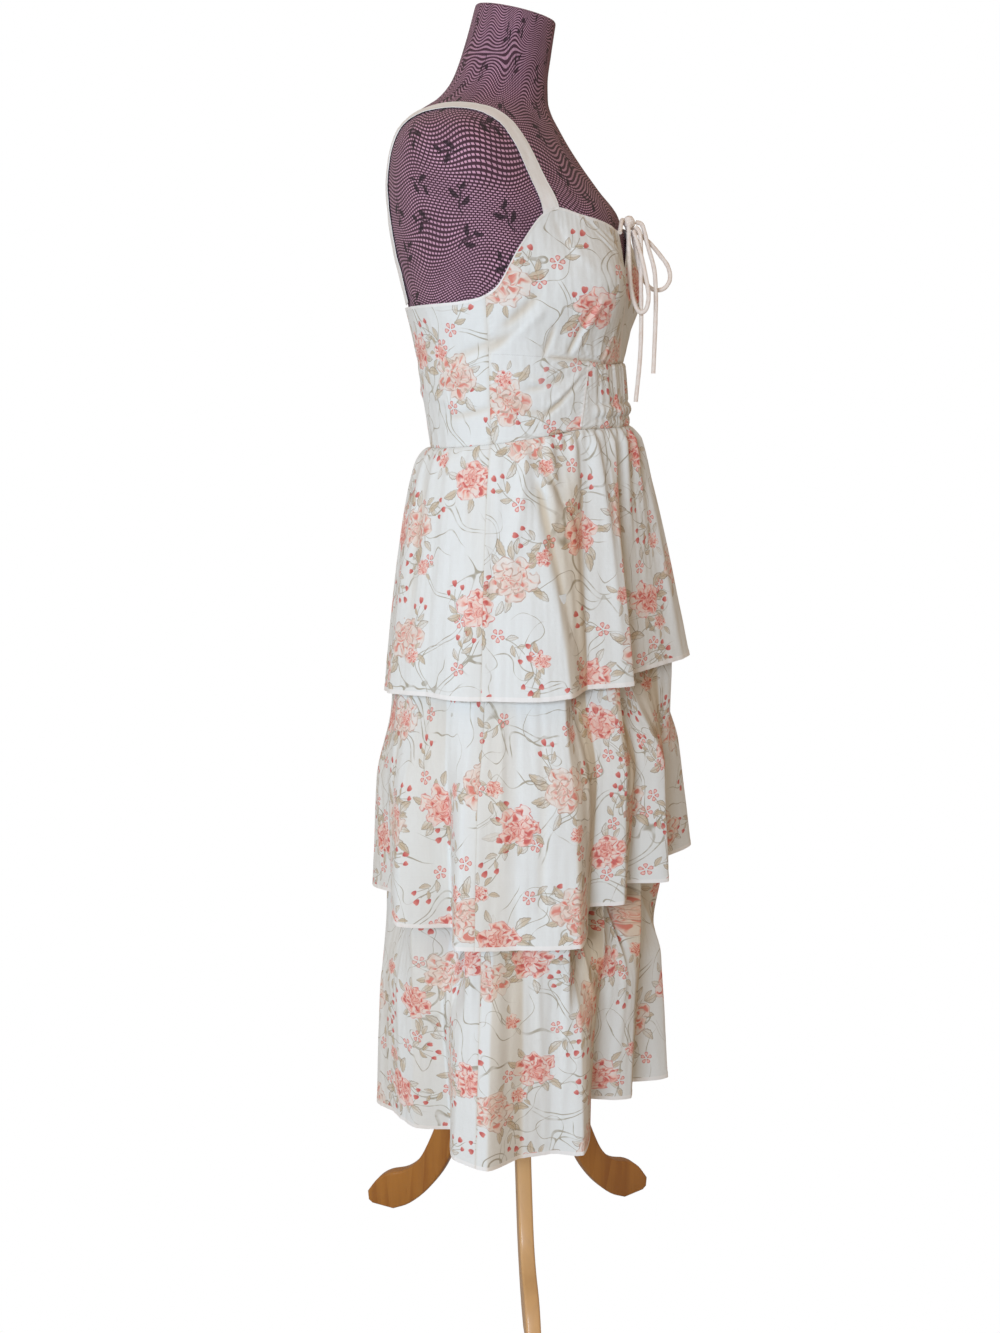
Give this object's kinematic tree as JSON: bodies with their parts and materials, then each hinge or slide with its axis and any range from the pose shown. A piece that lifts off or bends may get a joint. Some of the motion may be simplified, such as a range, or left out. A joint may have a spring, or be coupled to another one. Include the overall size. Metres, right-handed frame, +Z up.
{
  "type": "milkmaid dress on a limbless dress form with a wooden tripod stand",
  "caption": "Sleeveless tiered midi dress with a sweetheart bodice tied at the front, shown filled out on a fabric-covered dress form that stands on curved wooden legs.",
  "frame": {"origin": "centre of the whole object's box in plan, on the floor under the stand", "axes": "+Z up; the dress faces -Y; the wearer's right side is -X"},
  "size_m": [0.3948, 0.403, 1.4492],
  "materials": {
    "printed_cotton": "plain woven cotton, pale blue-white with a floral print",
    "tie_cotton": "narrow sewn cotton tube",
    "form_cover": "matte printed cotton in mauve and dark plum",
    "beech": "clear-varnished beech"
  },
  "bodies": {
    "root": {"dress_cup_right": "printed_cotton", "dress_cup_left": "printed_cotton", "dress_midriff_centre": "printed_cotton", "dress_midriff_right": "printed_cotton", "dress_midriff_left": "printed_cotton", "dress_back": "printed_cotton", "dress_strap_right": "printed_cotton", "dress_strap_left": "printed_cotton", "dress_tier_1_front": "printed_cotton", "dress_tier_1_back": "printed_cotton", "dress_tier_2_front": "printed_cotton", "dress_tier_2_back": "printed_cotton", "dress_tier_3_front": "printed_cotton", "dress_tier_3_back": "printed_cotton", "tie_knot": "tie_cotton", "tie_loop_right": "tie_cotton", "tie_loop_left": "tie_cotton", "tie_end_right": "tie_cotton", "tie_end_left": "tie_cotton", "tie_lace_right": "tie_cotton", "tie_lace_left": "tie_cotton", "form_body": "form_cover", "form_plate": "beech", "stand_pole": "beech", "stand_hub": "beech", "stand_leg_1": "beech", "stand_leg_2": "beech", "stand_leg_3": "beech"}
  },
  "joints": []
}
